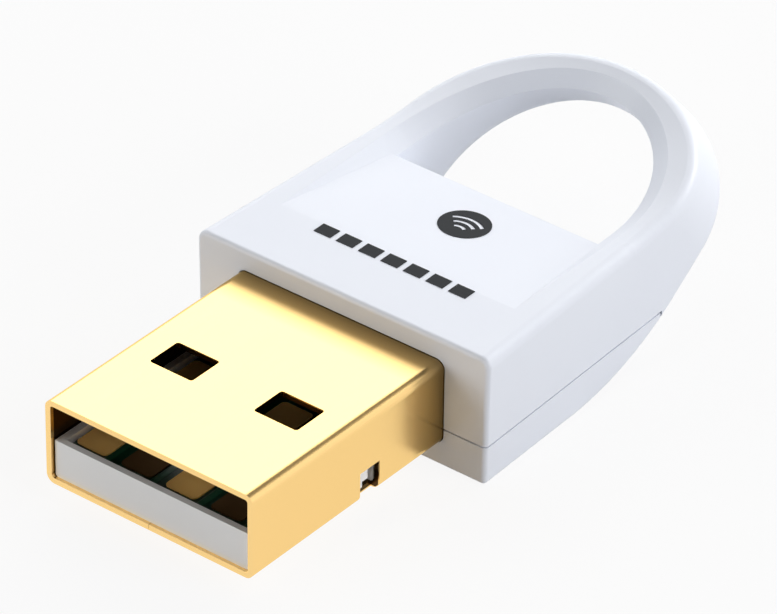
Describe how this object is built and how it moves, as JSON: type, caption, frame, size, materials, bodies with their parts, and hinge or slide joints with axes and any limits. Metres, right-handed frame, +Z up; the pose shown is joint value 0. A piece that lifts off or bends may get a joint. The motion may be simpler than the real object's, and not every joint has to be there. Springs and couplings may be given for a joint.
{
  "type": "usb wireless adapter",
  "caption": "Small white USB-A wireless adapter: gold-plated plug, two-part housing with a level seam, and a loop at the tail that sweeps upwards.",
  "frame": {"origin": "under the middle of the part, on the plane of the lower cover's flat underside", "axes": "+Y from the plug's mouth towards the loop at the tail, +Z up out of the printed face, +X across the plug, to the right when the mouth is looked into"},
  "size_m": [0.017, 0.0364, 0.0088],
  "materials": {
    "housing_white": "satin moulded",
    "plated_gold": "bright gold plate on steel",
    "tray_white": "moulded",
    "board_green": "solder mask",
    "contact_gold": "gold plate",
    "chip_black": "moulded epoxy",
    "can_steel": "nickel plate",
    "ceramic_tan": "fired ceramic",
    "resistor_black": "glazed",
    "solder_grey": "solder",
    "ink_grey": "printed ink"
  },
  "bodies": {
    "root": {"upper_housing": "housing_white", "lower_cover": "housing_white", "plug_shell": "plated_gold", "contact_tray": "tray_white", "circuit_board": "board_green", "contact_power": "contact_gold", "contact_data_minus": "contact_gold", "contact_data_plus": "contact_gold", "contact_ground": "contact_gold", "radio_chip": "chip_black", "crystal": "can_steel", "memory_chip": "chip_black", "voltage_regulator": "chip_black", "capacitor_1": "ceramic_tan", "capacitor_2": "ceramic_tan", "capacitor_3": "ceramic_tan", "capacitor_4": "ceramic_tan", "capacitor_5": "ceramic_tan", "capacitor_6": "ceramic_tan", "resistor_1": "resistor_black", "resistor_2": "resistor_black", "resistor_3": "resistor_black", "ferrite_bead": "resistor_black", "antenna_trace": "contact_gold", "solder_joint_left": "solder_grey", "solder_joint_right": "solder_grey", "printed_disc": "ink_grey", "printed_dashes": "ink_grey"}
  },
  "joints": []
}
